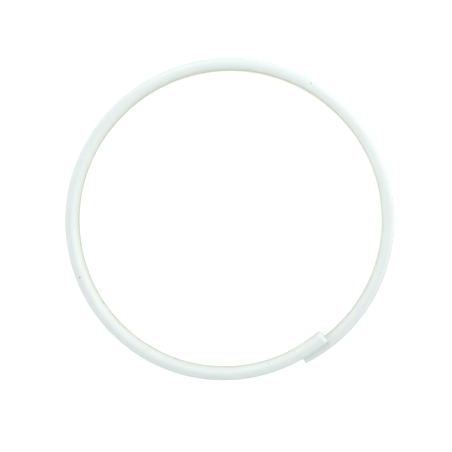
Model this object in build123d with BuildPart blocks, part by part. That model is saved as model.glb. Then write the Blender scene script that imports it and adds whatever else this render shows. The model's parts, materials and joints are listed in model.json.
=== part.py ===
from build123d import *
import os
from math import cos, degrees, hypot, radians, sin

# A small gymnastics hoop: one length of white plastic tube, wound into a ring and not yet joined.
# Its two ends lap: the outer end lies on the floor, and the inner end lies on that end's inner
# shoulder. The core that will join the two ends is pushed all the way into the inner end.
# Millimetres and degrees. +Z is up and the hoop lies flat, with the lap on the -Y side.

# Tube
tube_diameter = 19.0
tube_wall = 2.0
tube_radius = tube_diameter / 2
bore_radius = tube_radius - tube_wall
edge_break = 0.4  # small rounding of the sawn outer edges

# Centreline: three arcs, each tangent to the next. The plan angles are measured about each
# arc's own centre, anticlockwise from +X.
far_radius = 240.5  # the side away from the lap
outer_radius = 231.4  # the side that ends underneath
inner_radius = 228.1  # the side that ends on top
outer_end_angle = -90.75  # the outer end's sawn face, which looks nearly along -X
outer_joint_angle = -5.0  # the outer arc runs into the far arc here
flex_angle = 90.0  # the tube bends open about this place, opposite the lap
inner_joint_angle = 131.8  # the far arc runs into the inner arc here
inner_arc = 152.8  # from there to the inner end
inner_tilt = 1.9  # the inner arc climbs over the outer end, and clears it by 0.4 mm

# Gap between the two halves at the flex, which is a cut that the real tube doesn't have
flex_gap = 0.3

# Joint core
core_clearance = 0.08  # radial, in the tube's bore
core_radius = bore_radius - core_clearance
core_length = 76.0  # half of it goes into each end of the closed hoop
core_lead = 1.2  # chamfer that leads it into the other end


def plan(angle):
    """The horizontal unit vector at a plan angle."""
    return Vector(cos(radians(angle)), sin(radians(angle)), 0)


# Centres of the three arcs, with the far arc's centre at the plan origin for now
far_centre = Vector(0, 0, 0)
outer_centre = plan(outer_joint_angle) * (far_radius - outer_radius)

# The inner arc's plane holds the tangent at its start, and leans up by inner_tilt
inner_start = plan(inner_joint_angle) * far_radius
inner_tangent = plan(inner_joint_angle + 90)
inner_inward = plan(inner_joint_angle) * -cos(radians(inner_tilt)) + Vector(0, 0, sin(radians(inner_tilt)))
inner_axis = inner_tangent.cross(inner_inward)
inner_centre = inner_start + inner_inward * inner_radius

# The origin is on the floor, in the middle of the hoop's overall length and width
x_reach = inner_radius * hypot(inner_tangent.X, inner_inward.X)
x_high = far_radius + tube_radius
x_low = inner_centre.X - x_reach - tube_radius
y_high = far_radius + tube_radius
y_low = outer_centre.Y - outer_radius - tube_radius
shift = Vector(-(x_high + x_low) / 2, -(y_high + y_low) / 2, tube_radius)


def section_at(arc_centre, axis, start_point, turn):
    """The plane square to the tube, after a turn about an arc's axis from start_point."""
    arm = (start_point - arc_centre).rotate(Axis((0, 0, 0), axis), turn)
    return Plane(origin=arc_centre + arm + shift, x_dir=arm, z_dir=axis.cross(arm))


def turning_axis(arc_centre, axis):
    return Axis(arc_centre + shift, axis)


up = Vector(0, 0, 1)
outer_end = section_at(outer_centre, up, outer_centre + plan(outer_end_angle) * outer_radius, 0)
outer_joint = section_at(far_centre, up, plan(outer_joint_angle) * far_radius, 0)
flex_start = flex_angle + degrees(flex_gap / far_radius)
inner_flex = section_at(far_centre, up, plan(flex_start) * far_radius, 0)
inner_joint = section_at(inner_centre, inner_axis, inner_start, 0)
core_turn = degrees(core_length / inner_radius)
core_start = section_at(inner_centre, inner_axis, inner_start, inner_arc - core_turn)
inner_end = section_at(inner_centre, inner_axis, inner_start, inner_arc)


def draw_wall():
    """The tube's ring-shaped section, in the sketch that is open."""
    Circle(tube_radius)
    Circle(bore_radius, mode=Mode.SUBTRACT)


# The half that lies flat, from the flex to the end that lies underneath
with BuildPart() as tube_outer_half:
    with BuildSketch(outer_end):
        draw_wall()
    revolve(axis=turning_axis(outer_centre, up), revolution_arc=outer_joint_angle - outer_end_angle)
    with BuildSketch(outer_joint):
        draw_wall()
    revolve(axis=turning_axis(far_centre, up), revolution_arc=flex_angle - outer_joint_angle)
    outer_rims = edges().filter_by(GeomType.CIRCLE).filter_by(
        lambda edge: (edge.arc_center - outer_end.origin).length < edge_break
    )
    fillet(outer_rims.sort_by(SortBy.RADIUS)[-1], edge_break)

# The half that climbs from the flex to the end that lies on top
with BuildPart() as tube_inner_half:
    with BuildSketch(inner_flex):
        draw_wall()
    revolve(axis=turning_axis(far_centre, up), revolution_arc=inner_joint_angle - flex_start)
    with BuildSketch(inner_joint):
        draw_wall()
    revolve(axis=turning_axis(inner_centre, inner_axis), revolution_arc=inner_arc)
    inner_rims = edges().filter_by(GeomType.CIRCLE).filter_by(
        lambda edge: (edge.arc_center - inner_end.origin).length < edge_break
    )
    fillet(inner_rims.sort_by(SortBy.RADIUS)[-1], edge_break)

# The curved plug in the inner end, flush with the tube's sawn face
with BuildPart() as joint_core:
    with BuildSketch(core_start):
        Circle(core_radius)
    revolve(axis=turning_axis(inner_centre, inner_axis), revolution_arc=core_turn)
    chamfer(edges().filter_by(GeomType.CIRCLE), core_lead)

os.makedirs("parts", exist_ok=True)
tube_outer_half.part.label = "tube_outer_half"
tube_inner_half.part.label = "tube_inner_half"
joint_core.part.label = "joint_core"
export_step(tube_outer_half.part, "parts/tube_outer_half.step")
export_step(tube_inner_half.part, "parts/tube_inner_half.step")
export_step(joint_core.part, "parts/joint_core.step")
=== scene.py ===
import json
import math

import bpy
import numpy as np
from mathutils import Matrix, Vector


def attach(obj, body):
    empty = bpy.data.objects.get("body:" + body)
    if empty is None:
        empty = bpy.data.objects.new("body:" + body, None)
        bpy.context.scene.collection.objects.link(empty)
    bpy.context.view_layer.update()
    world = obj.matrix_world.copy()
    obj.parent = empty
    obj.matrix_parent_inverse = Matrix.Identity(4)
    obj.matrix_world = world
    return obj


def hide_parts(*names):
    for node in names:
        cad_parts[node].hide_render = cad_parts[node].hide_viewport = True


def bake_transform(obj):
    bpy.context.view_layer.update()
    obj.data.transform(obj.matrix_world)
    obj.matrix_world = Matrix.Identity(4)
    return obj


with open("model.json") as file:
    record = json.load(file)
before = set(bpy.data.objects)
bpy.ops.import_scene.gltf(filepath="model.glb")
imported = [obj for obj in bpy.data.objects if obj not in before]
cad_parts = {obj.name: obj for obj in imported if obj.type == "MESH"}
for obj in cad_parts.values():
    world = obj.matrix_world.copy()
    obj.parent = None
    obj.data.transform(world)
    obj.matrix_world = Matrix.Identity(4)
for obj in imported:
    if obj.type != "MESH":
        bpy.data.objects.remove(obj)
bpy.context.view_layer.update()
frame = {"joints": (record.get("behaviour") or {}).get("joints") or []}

# The hoop is one length of white plastic tube, wound into an open ring whose ends lap, with the core
# that will join them pushed into the upper end. Metres; radians unless a name says degrees.
# Along the tube, "run" is the distance from the outer end (underneath) to the inner end (on top).

joints = {j["name"]: j for j in frame["joints"]}

# Tube and core, as in the CAD
TUBE_RADIUS = 0.0095
BORE_RADIUS = 0.0075
CORE_RADIUS = 0.00742
CORE_LENGTH = 0.076
CORE_LEAD = 0.0012
FAR_RADIUS = 0.2405
OUTER_RADIUS = 0.2314
INNER_RADIUS = 0.2281
OUTER_END = math.radians(-90.75)
OUTER_JOINT = math.radians(-5.0)
INNER_JOINT = math.radians(131.8)
INNER_TURN = math.radians(152.8)
INNER_TILT = math.radians(1.9)

# Mesh
RINGS = 620  # along the tube
BORE_SKIP = 2  # its bore has one ring for each two of them
CORE_RINGS = 40  # along the core's plain length
SIDES = 72  # around both pieces
EDGE_STEPS = 6  # over a sawn end's rounded edge
ANGLES = np.linspace(0, 2 * math.pi, SIDES, endpoint=False)  # from the outer side up over the top

# The tube isn't perfectly round or even: shares of its radius, and the lengths that they repeat over
OVAL = 0.004
THREE_LOBED = 0.0012
LOBES_TWIST = 9.0  # radians for each metre along the tube
SLOW_WAVE = 0.0009
SLOW_WAVE_LENGTH = 0.083
QUICK_WAVE = 0.0006
QUICK_WAVE_LENGTH = 0.031

# Ends of the tube and of the core
SAWN_EDGE = 0.0006  # rounding of the sawn outer edges
BORE_EDGE = 0.00025  # chamfer of the bore's edges
SHOULDER_ANGLE = math.radians(22.0)  # where round the tube the inner end's edge is softened most
SHOULDER_ALONG = 0.0046  # how much further that softening reaches along the tube
SHOULDER_DEEP = 0.00105  # and into its wall
CLEAR_OF_EDGE = 0.001  # from the longest softening to the first of the plain rings
CORE_CORNER = 0.0002  # softened corners of the core
DIMPLE_RADIUS = 0.0024  # in the core's two faces
DIMPLE_DEPTH = 0.0009

# Looks
TUBE_COLOUR = (0.80, 0.87, 0.861)
CORE_COLOUR = (0.80, 0.835, 0.81)
TUBE_SCATTER = 0.2  # share of the light that goes into the plastic
CORE_SCATTER = 0.15
SCATTER_DEPTH = 0.002
SCATTER_SHARES = (1.0, 1.0, 0.8)  # of that depth, in red, green and blue
TUBE_ROUGHNESS = (0.38, 0.47)  # from its shiniest patches to its dullest
CORE_ROUGHNESS = (0.56, 0.42)  # where it is plain, and where it is rubbed
SAWN_DEPTH = 0.0004  # the saw's marks reach this far from the end
SAWN_ROUGHER = 0.25

# Noise patterns: scale per metre, detail, and how much each axis counts. A pattern is drawn out along
# an axis that counts for less than 1.
TUBE_MOTTLE = (25, 3.0)
TUBE_DRAWN = (700, 2.0, (0.012, 1, 1))
TUBE_PEEL = (650, 2.0)
TUBE_WEAR = (60, 4.0)
SAW_MARKS = (2600, 1.0, (0, 1, 0.05))
CORE_MOTTLE = (90, 3.0)
CORE_RUBBED = (900, 1.0, (0.03, 1, 1))
CORE_GRAIN = (2400, 2.0)
# The stretches of a noise over which its pattern comes in
MIDDLE = (0.3, 0.7)
WEAR_MIDDLE = (0.35, 0.65)
RUBBED_MARKS = (0.62, 0.72)
RUBBED_SHINE = (0.6, 0.72)
# What is left of the colour in the darkest of a pattern
TUBE_MOTTLE_DARK = 0.985
DRAWN_DARK = 0.992
DUST_DARK = 0.80
CORE_MOTTLE_DARK = 0.975
RUBBED_DARK = 0.93
# How deep the patterns are cut
SAW_MARKS_DEEP = 0.0001
TUBE_SKIN_DEEP = 0.000008
CORE_GRAIN_DEEP = 0.00004
# Dust: cells per metre, and in shares of a cell, the sizes at which its grain starts to fade and ends
DUST_CELLS = 55.0
DUST_GRAIN = (0.012, 0.024)
PAINTED_HIGHLIGHT_BAND = 0.0055  # painted highlight: the last of the inner end, whose colour is lightened
PAINTED_HIGHLIGHT_FULL = 0.4  # share of that band which is fully so
# how much the painted highlight lightens the colour
PAINTED_HIGHLIGHT_LIFT = 1.075

# Grey specks: share of the tube's length, degrees round it from its outer side up over the top,
# radius, and what is left of the colour
SPECKS = [
    (0.33, 85, 0.0010, 0.15),
    (0.715, 95, 0.0013, 0.35),
    (0.94, 135, 0.0010, 0.60),
    (0.27, 85, 0.0006, 0.80),
]
SPECK_HEART = 0.5  # share of a speck's radius that is darkest

# The camera looks straight down. BELOW_CAMERA is the point under it, from the far arc's centre toward
# the picture's right and toward its top. The shift only frames the hoop.
VIEW_ROLL = math.radians(-26.95)
VIEW_HEIGHT = 2.2 * FAR_RADIUS
BELOW_CAMERA = Vector((0.0735, 0.0452))
LENS_MM = 27.75
SENSOR_MM = 36
SHIFT_X = -0.1168
SHIFT_Y = -0.0737

# Two sheets of floor: a white one to look at, and a duller and warmer one whose light the hoop gets
FLOOR_HALF = 4.0
FLOOR_COLOUR = (0.92, 0.92, 0.92)
FLOOR_GLOW = 0.50
BOUNCE_COLOUR = (0.46, 0.45, 0.23)
BOUNCE_HEIGHT = -0.0002

# The room's own brightness, and how much more it has low down and toward three sides of the picture,
# each with the power by which it fades
ROOM = 0.15
ROOM_LOW = 1.48
LOW_FADE = 3.0
ROOM_RIGHT = 0.90
ROOM_LEFT = 1.06
ROOM_FOOT = 0.47
SIDE_FADE = 2.0
# Soft lamps: degrees round from the picture's right, distance, height, diameter, watts
LAMPS = [
    (0, 0.9, 0.9, 0.7, 1.9),
    (42, 1.2, 0.45, 0.4, 2.2),
    (60, 0.9, 0.9, 0.7, 0.8),
    (60, 0.5, 1.2, 0.5, 1.8),
    (120, 1.0, 1.0, 0.25, 3.9),
]

OUTER_RUN = OUTER_RADIUS * (OUTER_JOINT - OUTER_END)
FAR_RUN = FAR_RADIUS * (INNER_JOINT - OUTER_JOINT)
INNER_RUN = INNER_RADIUS * INNER_TURN
TUBE_LENGTH = OUTER_RUN + FAR_RUN + INNER_RUN

# The flex hinge stands on the far arc's outermost line, opposite the lap
flex = Vector(joints["tube_flex"]["pos_m"])
far_centre = flex - Vector((0, FAR_RADIUS + TUBE_RADIUS, 0))


# ---------------------------------------------------------------- the tube's route

def plan(angle):
    """The level unit vector at a plan angle, anticlockwise from +X."""
    return Vector((math.cos(angle), math.sin(angle), 0))


def arcs():
    """The route's three arcs: start run, centre, radius, outward arm at the start, axis, and the
    angle that the section has to lean so that it doesn't twist where the plane of the arc changes."""
    up = Vector((0, 0, 1))
    outer_centre = far_centre + plan(OUTER_JOINT) * (FAR_RADIUS - OUTER_RADIUS)
    joint_arm = plan(INNER_JOINT)
    tangent = up.cross(joint_arm)
    inward = -joint_arm * math.cos(INNER_TILT) + up * math.sin(INNER_TILT)
    inner_centre = far_centre + joint_arm * FAR_RADIUS + inward * INNER_RADIUS
    return [
        (0.0, outer_centre, OUTER_RADIUS, plan(OUTER_END), up, 0.0),
        (OUTER_RUN, far_centre, FAR_RADIUS, plan(OUTER_JOINT), up, 0.0),
        (OUTER_RUN + FAR_RUN, inner_centre, INNER_RADIUS, -inward, tangent.cross(inward), INNER_TILT),
    ]


ARCS = arcs()


def wind(straight):
    """Winds points of the straight tube (run, outward, up) onto the hoop's route."""
    wound = np.zeros_like(straight)
    for i, (start, centre, radius, arm, axis, lean) in enumerate(ARCS):
        stop = ARCS[i + 1][0] if i + 1 < len(ARCS) else math.inf
        here = (straight[:, 0] >= start if i else np.ones(len(straight), bool)) & (straight[:, 0] < stop)
        turn = (straight[here, 0] - start) / radius
        side = np.array(axis.cross(arm))
        out = np.outer(np.cos(turn), np.array(arm)) + np.outer(np.sin(turn), side)
        lean_out = out * math.cos(lean) + np.array(axis) * math.sin(lean)
        lean_up = np.array(axis) * math.cos(lean) - out * math.sin(lean)
        wound[here] = (np.array(centre) + out * radius + lean_out * straight[here, 1:2]
                       + lean_up * straight[here, 2:3])
    return wound


# ---------------------------------------------------------------- meshes

def new_object(name, verts, faces):
    """A mesh object in the scene."""
    mesh = bpy.data.meshes.new(name)
    mesh.from_pydata(verts, [], faces)
    made = bpy.data.objects.new(name, mesh)
    bpy.context.scene.collection.objects.link(made)
    return made


def ring_mesh(name, rings, closed):
    """A smooth mesh from rings of SIDES points each, joined one to the next. Where closed, its last
    ring is joined to its first, and where not, its first and last rings are each filled with a fan."""
    verts = [tuple(point) for ring in rings for point in ring]
    count = len(rings)
    faces = []
    for i in range(count if closed else count - 1):
        near, far = i * SIDES, (i + 1) % count * SIDES
        for k in range(SIDES):
            beside = (k + 1) % SIDES
            faces.append((near + k, far + k, far + beside, near + beside))
    if not closed:
        for first, flip in ((0, False), ((count - 1) * SIDES, True)):
            middle = len(verts)
            verts.append(tuple(np.mean(verts[first:first + SIDES], axis=0)))
            for k in range(SIDES):
                face = (first + k, first + (k + 1) % SIDES, middle)
                faces.append(face[::-1] if flip else face)
    piece = new_object(name, verts, faces)
    mesh = piece.data
    mesh.polygons.foreach_set("use_smooth", [True] * len(mesh.polygons))
    mesh.update()
    return piece


def wind_piece(piece):
    """Winds a straight piece onto the hoop's route. Each point's place on the straight piece is
    stored, and the material's patterns follow it."""
    mesh = piece.data
    points = np.zeros(len(mesh.vertices) * 3)
    mesh.vertices.foreach_get("co", points)
    kept = mesh.attributes.new("straight", "FLOAT_VECTOR", "POINT")
    kept.data.foreach_set("vector", points)
    mesh.vertices.foreach_set("co", wind(points.reshape(-1, 3)).ravel())
    mesh.update()


def ring_at(run, radius):
    """One ring of the straight tube, with its faint out-of-roundness. The run and the radius may
    each be one number or one for each point of the ring."""
    oval = OVAL * np.cos(2 * ANGLES) + THREE_LOBED * np.cos(3 * ANGLES + LOBES_TWIST * run)
    wave = SLOW_WAVE * np.sin(2 * math.pi * run / SLOW_WAVE_LENGTH)
    wave = wave + QUICK_WAVE * np.sin(2 * math.pi * run / QUICK_WAVE_LENGTH + 2 * ANGLES)
    reach = radius * (1 + oval + wave)
    return np.stack([np.zeros(SIDES) + run, reach * np.cos(ANGLES), reach * np.sin(ANGLES)], axis=1)


def sawn_end(end, inward, along, deep):
    """Rings over a sawn end, from the tube's wall over its rounded edge to the face and the bore. The
    rounding reaches so far along the tube and so deep into the wall."""
    rings = []
    for angle in np.linspace(0, math.pi / 2, EDGE_STEPS + 1):
        run = end + inward * along * (1 - math.sin(angle))
        rings.append(ring_at(run, TUBE_RADIUS - deep * (1 - math.cos(angle))))
    rings.append(ring_at(end, BORE_RADIUS + BORE_EDGE))
    rings.append(ring_at(end + inward * BORE_EDGE, BORE_RADIUS))
    return rings


def make_tube():
    """The whole tube as one mesh, whose inner end has been softened most on its outer shoulder."""
    shoulder = 0.5 + 0.5 * np.cos(ANGLES - SHOULDER_ANGLE)
    start = sawn_end(0.0, 1, SAWN_EDGE, SAWN_EDGE)
    along = SAWN_EDGE + SHOULDER_ALONG * shoulder
    stop = sawn_end(TUBE_LENGTH, -1, along, SAWN_EDGE + SHOULDER_DEEP * shoulder)
    clear = SAWN_EDGE + SHOULDER_ALONG + CLEAR_OF_EDGE
    runs = np.linspace(clear, TUBE_LENGTH - clear, RINGS)
    rings = start[::-1]
    rings += [ring_at(run, TUBE_RADIUS) for run in runs]
    rings += stop
    rings += [ring_at(run, BORE_RADIUS) for run in runs[::-BORE_SKIP]]
    tube = ring_mesh("hoop_tube", rings, True)
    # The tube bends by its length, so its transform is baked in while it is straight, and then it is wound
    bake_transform(tube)
    wind_piece(tube)
    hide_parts("tube_outer_half", "tube_inner_half")
    return tube


def make_core():
    """The joint core, flush in the inner end: chamfered at both ends, with a shallow dimple in each
    face and softened corners."""
    start, stop = TUBE_LENGTH - CORE_LENGTH, TUBE_LENGTH
    soft = CORE_CORNER
    profile = [
        (start + DIMPLE_DEPTH, DIMPLE_RADIUS - soft),
        (start + soft, DIMPLE_RADIUS),
        (start, DIMPLE_RADIUS + soft),
        (start, CORE_RADIUS - CORE_LEAD - soft),
        (start + soft, CORE_RADIUS - CORE_LEAD),
        (start + CORE_LEAD, CORE_RADIUS - soft),
        (start + CORE_LEAD + soft, CORE_RADIUS),
    ]
    other_end = [(start + stop - run, radius) for run, radius in reversed(profile)]
    plain_runs = np.linspace(start + 2 * CORE_LEAD, stop - 2 * CORE_LEAD, CORE_RINGS)
    profile += [(run, CORE_RADIUS) for run in plain_runs]
    profile += other_end
    rings = []
    for run, radius in profile:
        ring = [np.full(SIDES, run), radius * np.cos(ANGLES), radius * np.sin(ANGLES)]
        rings.append(np.stack(ring, axis=1))
    core = ring_mesh("core_plug", rings, False)
    wind_piece(core)
    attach(core, "core")
    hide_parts("joint_core")
    return core


# ---------------------------------------------------------------- materials

def node(tree, kind, inputs=(), **settings):
    """Adds a node with the given settings; each input takes a value or another node's socket."""
    made = tree.nodes.new(kind)
    for key, value in settings.items():
        setattr(made, key, value)
    for key, value in dict(inputs).items():
        if isinstance(value, bpy.types.NodeSocket):
            tree.links.new(value, made.inputs[key])
        else:
            made.inputs[key].default_value = value
    return made


def maths(tree, operation, a, b=0.0, c=0.0):
    """The result of an operation on one, two or three values."""
    return node(tree, "ShaderNodeMath", {0: a, 1: b, 2: c}, operation=operation).outputs[0]


def remap(tree, value, low, high, to_low, to_high, kind="SMOOTHSTEP"):
    """The value taken from low..high to to_low..to_high, and held beyond."""
    inputs = {"Value": value, "From Min": low, "From Max": high, "To Min": to_low, "To Max": to_high}
    return node(tree, "ShaderNodeMapRange", inputs, interpolation_type=kind).outputs["Result"]


def noise(tree, place, scale, detail, counts=(1, 1, 1)):
    """One of the noise patterns."""
    scaled = node(tree, "ShaderNodeVectorMath", {0: place, 1: counts}, operation="MULTIPLY")
    inputs = {"Vector": scaled.outputs[0], "Scale": scale, "Detail": detail}
    return node(tree, "ShaderNodeTexNoise", inputs).outputs["Fac"]


def bump(tree, height, depth, below=None):
    """A bump of the given depth, over another where there is one below."""
    inputs = {"Height": height, "Strength": 1.0, "Distance": depth}
    if below:
        inputs["Normal"] = below
    return node(tree, "ShaderNodeBump", inputs).outputs["Normal"]


def tinted(tree, colour, factors):
    """The colour with each factor multiplied in."""
    shade = 1.0
    for factor in factors:
        shade = maths(tree, "MULTIPLY", shade, factor)
    return node(tree, "ShaderNodeVectorMath", {0: colour, "Scale": shade}, operation="SCALE").outputs[0]


def start_material(name, scatter):
    """A plastic that light goes a little way into, and the place on the straight piece."""
    material = bpy.data.materials.new(name)
    material.use_nodes = True
    tree = material.node_tree
    shader = tree.nodes["Principled BSDF"]
    shader.inputs["Subsurface Weight"].default_value = scatter
    shader.inputs["Subsurface Radius"].default_value = SCATTER_SHARES
    shader.inputs["Subsurface Scale"].default_value = SCATTER_DEPTH
    place = node(tree, "ShaderNodeAttribute", attribute_name="straight").outputs["Vector"]
    return material, tree, shader, place


def speck_shade(tree, place, share, degrees, size, shade):
    """A grey speck in the plastic's skin, from one line of SPECKS."""
    turn = math.radians(degrees)
    middle = (share * TUBE_LENGTH, TUBE_RADIUS * math.cos(turn), TUBE_RADIUS * math.sin(turn))
    away = node(tree, "ShaderNodeVectorMath", {0: place, 1: middle}, operation="DISTANCE").outputs["Value"]
    return remap(tree, away, SPECK_HEART * size, size, shade, 1.0)


def tube_plastic():
    """White extruded plastic: faint mottling, drawn lines along the tube, an orange-peel skin, and
    the odd grey speck, with a painted highlight that lightens the last of the inner end; its two sawn
    faces are rougher."""
    material, tree, shader, place = start_material("tube_plastic", TUBE_SCATTER)
    mottle = remap(tree, noise(tree, place, *TUBE_MOTTLE), *MIDDLE, TUBE_MOTTLE_DARK, 1.0, "LINEAR")
    drawn = noise(tree, place, *TUBE_DRAWN)
    streaks = remap(tree, drawn, *MIDDLE, DRAWN_DARK, 1.0, "LINEAR")
    specks = [speck_shade(tree, place, *speck) for speck in SPECKS]
    cells = node(tree, "ShaderNodeTexVoronoi", {"Vector": place, "Scale": DUST_CELLS}).outputs["Distance"]
    dust = remap(tree, cells, *DUST_GRAIN, DUST_DARK, 1.0)
    run = node(tree, "ShaderNodeSeparateXYZ", {0: place}).outputs["X"]
    # Painted highlight: the tube's colour is lifted over the last of the inner end
    highlight_start, highlight_full = TUBE_LENGTH - PAINTED_HIGHLIGHT_BAND, TUBE_LENGTH - PAINTED_HIGHLIGHT_FULL * PAINTED_HIGHLIGHT_BAND
    painted_highlight = remap(tree, run, highlight_start, highlight_full, 1.0, PAINTED_HIGHLIGHT_LIFT)
    colour = tinted(tree, TUBE_COLOUR, [mottle, streaks, dust, painted_highlight, *specks])
    tree.links.new(colour, shader.inputs["Base Color"])

    from_end = maths(tree, "MINIMUM", run, maths(tree, "SUBTRACT", TUBE_LENGTH, run))
    sawn = remap(tree, from_end, SAWN_DEPTH, 2 * SAWN_DEPTH, 1.0, 0.0)
    worn = remap(tree, noise(tree, place, *TUBE_WEAR), *WEAR_MIDDLE, *TUBE_ROUGHNESS, "LINEAR")
    rough = maths(tree, "ADD", worn, maths(tree, "MULTIPLY", sawn, SAWN_ROUGHER))
    tree.links.new(rough, shader.inputs["Roughness"])

    peel = bump(tree, noise(tree, place, *TUBE_PEEL), TUBE_SKIN_DEEP)
    lines = bump(tree, drawn, TUBE_SKIN_DEEP, peel)
    teeth = maths(tree, "MULTIPLY", sawn, noise(tree, place, *SAW_MARKS))
    tree.links.new(bump(tree, teeth, SAW_MARKS_DEEP, lines), shader.inputs["Normal"])
    return material


def core_plastic():
    """White moulded plastic, duller and slightly warmer than the tube, with a fine spark-eroded skin
    and rubbed lines along it from being pushed in and out."""
    material, tree, shader, place = start_material("core_plastic", CORE_SCATTER)
    mottle = remap(tree, noise(tree, place, *CORE_MOTTLE), *MIDDLE, CORE_MOTTLE_DARK, 1.0, "LINEAR")
    rubbed = noise(tree, place, *CORE_RUBBED)
    marks = remap(tree, rubbed, *RUBBED_MARKS, 1.0, RUBBED_DARK)
    tree.links.new(tinted(tree, CORE_COLOUR, [mottle, marks]), shader.inputs["Base Color"])
    rough = remap(tree, rubbed, *RUBBED_SHINE, *CORE_ROUGHNESS, "LINEAR")
    tree.links.new(rough, shader.inputs["Roughness"])
    grain = bump(tree, noise(tree, place, *CORE_GRAIN), CORE_GRAIN_DEEP)
    tree.links.new(grain, shader.inputs["Normal"])
    return material


tube = make_tube()
core = make_core()
tube.data.materials.append(tube_plastic())
core.data.materials.append(core_plastic())


# ---------------------------------------------------------------- floor, light and camera

def flat_sheet(name, height, colour, glow):
    """A matt square sheet of the studio floor, which may glow a little of its own."""
    corners = [(x * FLOOR_HALF, y * FLOOR_HALF, height) for x, y in ((-1, -1), (1, -1), (1, 1), (-1, 1))]
    sheet = new_object(name, corners, [(0, 1, 2, 3)])
    material = bpy.data.materials.new(name)
    material.use_nodes = True
    shader = material.node_tree.nodes["Principled BSDF"]
    shader.inputs["Base Color"].default_value = (*colour, 1)
    shader.inputs["Roughness"].default_value = 1.0
    shader.inputs["Specular IOR Level"].default_value = 0.0
    shader.inputs["Emission Color"].default_value = (1, 1, 1, 1)
    shader.inputs["Emission Strength"].default_value = glow
    sheet.data.materials.append(material)
    return sheet


def make_floor():
    """A white floor to look at, and just under it the duller, warmer one whose light the hoop gets."""
    seen = flat_sheet("floor", 0.0, FLOOR_COLOUR, FLOOR_GLOW)
    seen.visible_diffuse = False
    seen.visible_glossy = False
    seen.visible_shadow = False
    felt = flat_sheet("floor_bounce", BOUNCE_HEIGHT, BOUNCE_COLOUR, 0.0)
    felt.visible_camera = False


# The picture's right and its top, in the plan
right = plan(VIEW_ROLL)
ahead = plan(VIEW_ROLL + math.pi / 2)


def make_camera():
    """The camera, over the hoop and looking straight down."""
    data = bpy.data.cameras.new("camera")
    data.lens = LENS_MM
    data.sensor_width = SENSOR_MM
    data.shift_x = SHIFT_X
    data.shift_y = SHIFT_Y
    camera = bpy.data.objects.new("camera", data)
    over = right * BELOW_CAMERA.x + ahead * BELOW_CAMERA.y + Vector((0, 0, VIEW_HEIGHT))
    camera.location = far_centre + over
    camera.rotation_euler = (0, 0, VIEW_ROLL)
    bpy.context.scene.collection.objects.link(camera)
    bpy.context.scene.camera = camera


def make_lamp(degrees, distance, height, size, watts):
    """A round soft lamp aimed at the middle of the hoop, so many degrees round from the picture's
    right-hand side toward its top."""
    data = bpy.data.lights.new("lamp", "AREA")
    data.shape = "DISK"
    data.size = size
    data.energy = watts
    lamp = bpy.data.objects.new("lamp", data)
    turn = math.radians(degrees)
    toward = right * math.cos(turn) + ahead * math.sin(turn)
    lamp.location = far_centre + toward * distance + Vector((0, 0, height))
    lamp.rotation_euler = (far_centre - lamp.location).to_track_quat("-Z", "Y").to_euler()
    lamp.visible_camera = False
    bpy.context.scene.collection.objects.link(lamp)


def make_room():
    """The light of the room, stronger low down and toward three sides; looked at, it is plain white."""
    world = bpy.data.worlds.new("room")
    bpy.context.scene.world = world
    world.use_nodes = True
    tree = world.node_tree
    toward = node(tree, "ShaderNodeTexCoord").outputs["Generated"]

    def facing(direction):
        """How far the room faces a direction: 1 straight ahead, 0 to the side and behind."""
        inputs = {0: toward, 1: direction}
        along = node(tree, "ShaderNodeVectorMath", inputs, operation="DOT_PRODUCT").outputs["Value"]
        return maths(tree, "MAXIMUM", along, 0.0)

    low = maths(tree, "POWER", maths(tree, "SUBTRACT", 1.0, facing((0, 0, 1))), LOW_FADE)
    strength = maths(tree, "MULTIPLY_ADD", low, ROOM_LOW, ROOM)
    for direction, amount in ((right, ROOM_RIGHT), (-right, ROOM_LEFT), (-ahead, ROOM_FOOT)):
        side = maths(tree, "POWER", facing(direction), SIDE_FADE)
        strength = maths(tree, "MULTIPLY_ADD", side, amount, strength)
    looked_at = node(tree, "ShaderNodeLightPath").outputs["Is Camera Ray"]
    strength = maths(tree, "MAXIMUM", strength, looked_at)
    background = tree.nodes["Background"]
    background.inputs["Color"].default_value = (1, 1, 1, 1)
    tree.links.new(strength, background.inputs["Strength"])


make_floor()
make_camera()
for lamp in LAMPS:
    make_lamp(*lamp)
make_room()
bpy.context.scene.view_settings.view_transform = "Standard"
